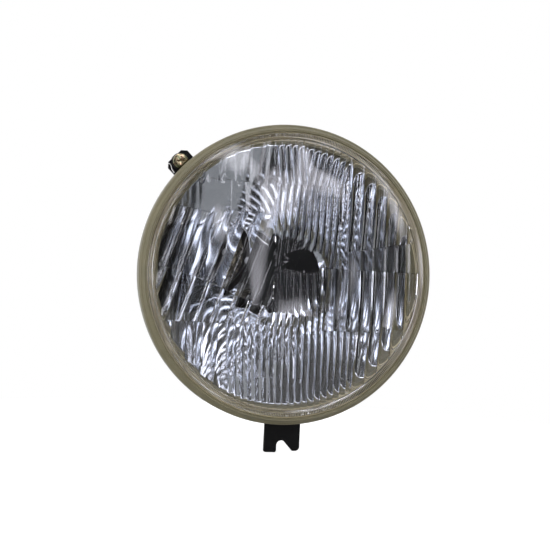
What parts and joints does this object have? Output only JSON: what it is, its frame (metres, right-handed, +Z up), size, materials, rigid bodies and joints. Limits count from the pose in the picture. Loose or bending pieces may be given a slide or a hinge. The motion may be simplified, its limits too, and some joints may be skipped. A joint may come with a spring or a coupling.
{
  "type": "car headlight",
  "caption": "Round car headlight insert with a fluted glass lens, khaki rim, mirror bowl, halogen bulb, wire bulb clip and a black mounting frame with an aim screw.",
  "frame": {"origin": "on the optical axis, in the plane of the rim's rear shoulder", "axes": "-Y out of the lens along the optical axis, +Z up, +X to the right of a viewer who faces the lens"},
  "size_m": [0.178, 0.1251, 0.1959],
  "materials": {
    "lens_glass": "clear pressed glass",
    "sealant": "matte tan sealant",
    "rim_moulding": "satin khaki moulding",
    "gasket_rubber": "matte black",
    "aluminised_sheet": "mirror",
    "black_steel": "satin black",
    "zinc_steel": "satin zinc",
    "black_nylon": "satin black",
    "yellow_zinc": "yellow passivated zinc",
    "spring_steel": "drawn wire",
    "natural_nylon": "satin cream",
    "rivet_aluminium": "satin",
    "bulb_metal": "satin nickel",
    "bulb_quartz": "clear quartz",
    "bulb_mask": "matte black coating",
    "bulb_wire": "drawn wire",
    "tungsten": "wound wire",
    "base_plastic": "satin black",
    "blade_brass": "tinned",
    "shield_lacquer": "black lacquer, bright edge"
  },
  "bodies": {
    "lamp": {"lens": "lens_glass", "lens_sealant": "sealant", "rim_frame": "rim_moulding", "reflector_gasket": "gasket_rubber", "reflector": "aluminised_sheet", "mounting_frame": "black_steel", "frame_screws": "zinc_steel", "adjuster_grommet": "black_nylon", "pivot_socket": "natural_nylon", "bulb_collar": "zinc_steel", "collar_rivets": "rivet_aluminium", "bulb_flange": "bulb_metal", "bulb_glass": "bulb_quartz", "bulb_tip_mask": "bulb_mask", "filament_posts": "bulb_wire", "main_filament": "tungsten", "dip_filament": "tungsten", "dip_shield": "bulb_wire", "bulb_base": "base_plastic", "contact_blades": "blade_brass", "bulb_shield": "shield_lacquer", "shield_leg": "aluminised_sheet", "shield_rivet": "rivet_aluminium"},
    "clip": {"bulb_clip": "spring_steel"},
    "aim_screw": {"adjuster_screw": "yellow_zinc", "adjuster_retainer": "spring_steel"},
    "aim_nut": {"adjuster_nut": "yellow_zinc"}
  },
  "joints": [
    {"name": "clip_swing", "type": "hinge", "parent": "lamp", "child": "clip", "pos_m": [0, 0.07006, 0.0245], "axis": [1, 0, 0], "range_deg": [0, 105]},
    {"name": "aim_turn", "type": "hinge", "parent": "lamp", "child": "aim_screw", "pos_m": [-0.06574, 0.005, 0.06393], "axis": [0, 1, 0], "range_deg": [-1081, 361]},
    {"name": "aim_nut_travel", "type": "slide", "parent": "lamp", "child": "aim_nut", "axis": [0, -1, 0], "range_m": [-0.0024, 0.0008]}
  ],
  "couplings": [
    {"joint": "aim_turn", "follows": "aim_nut_travel", "rad_per_m": 7854}
  ]
}
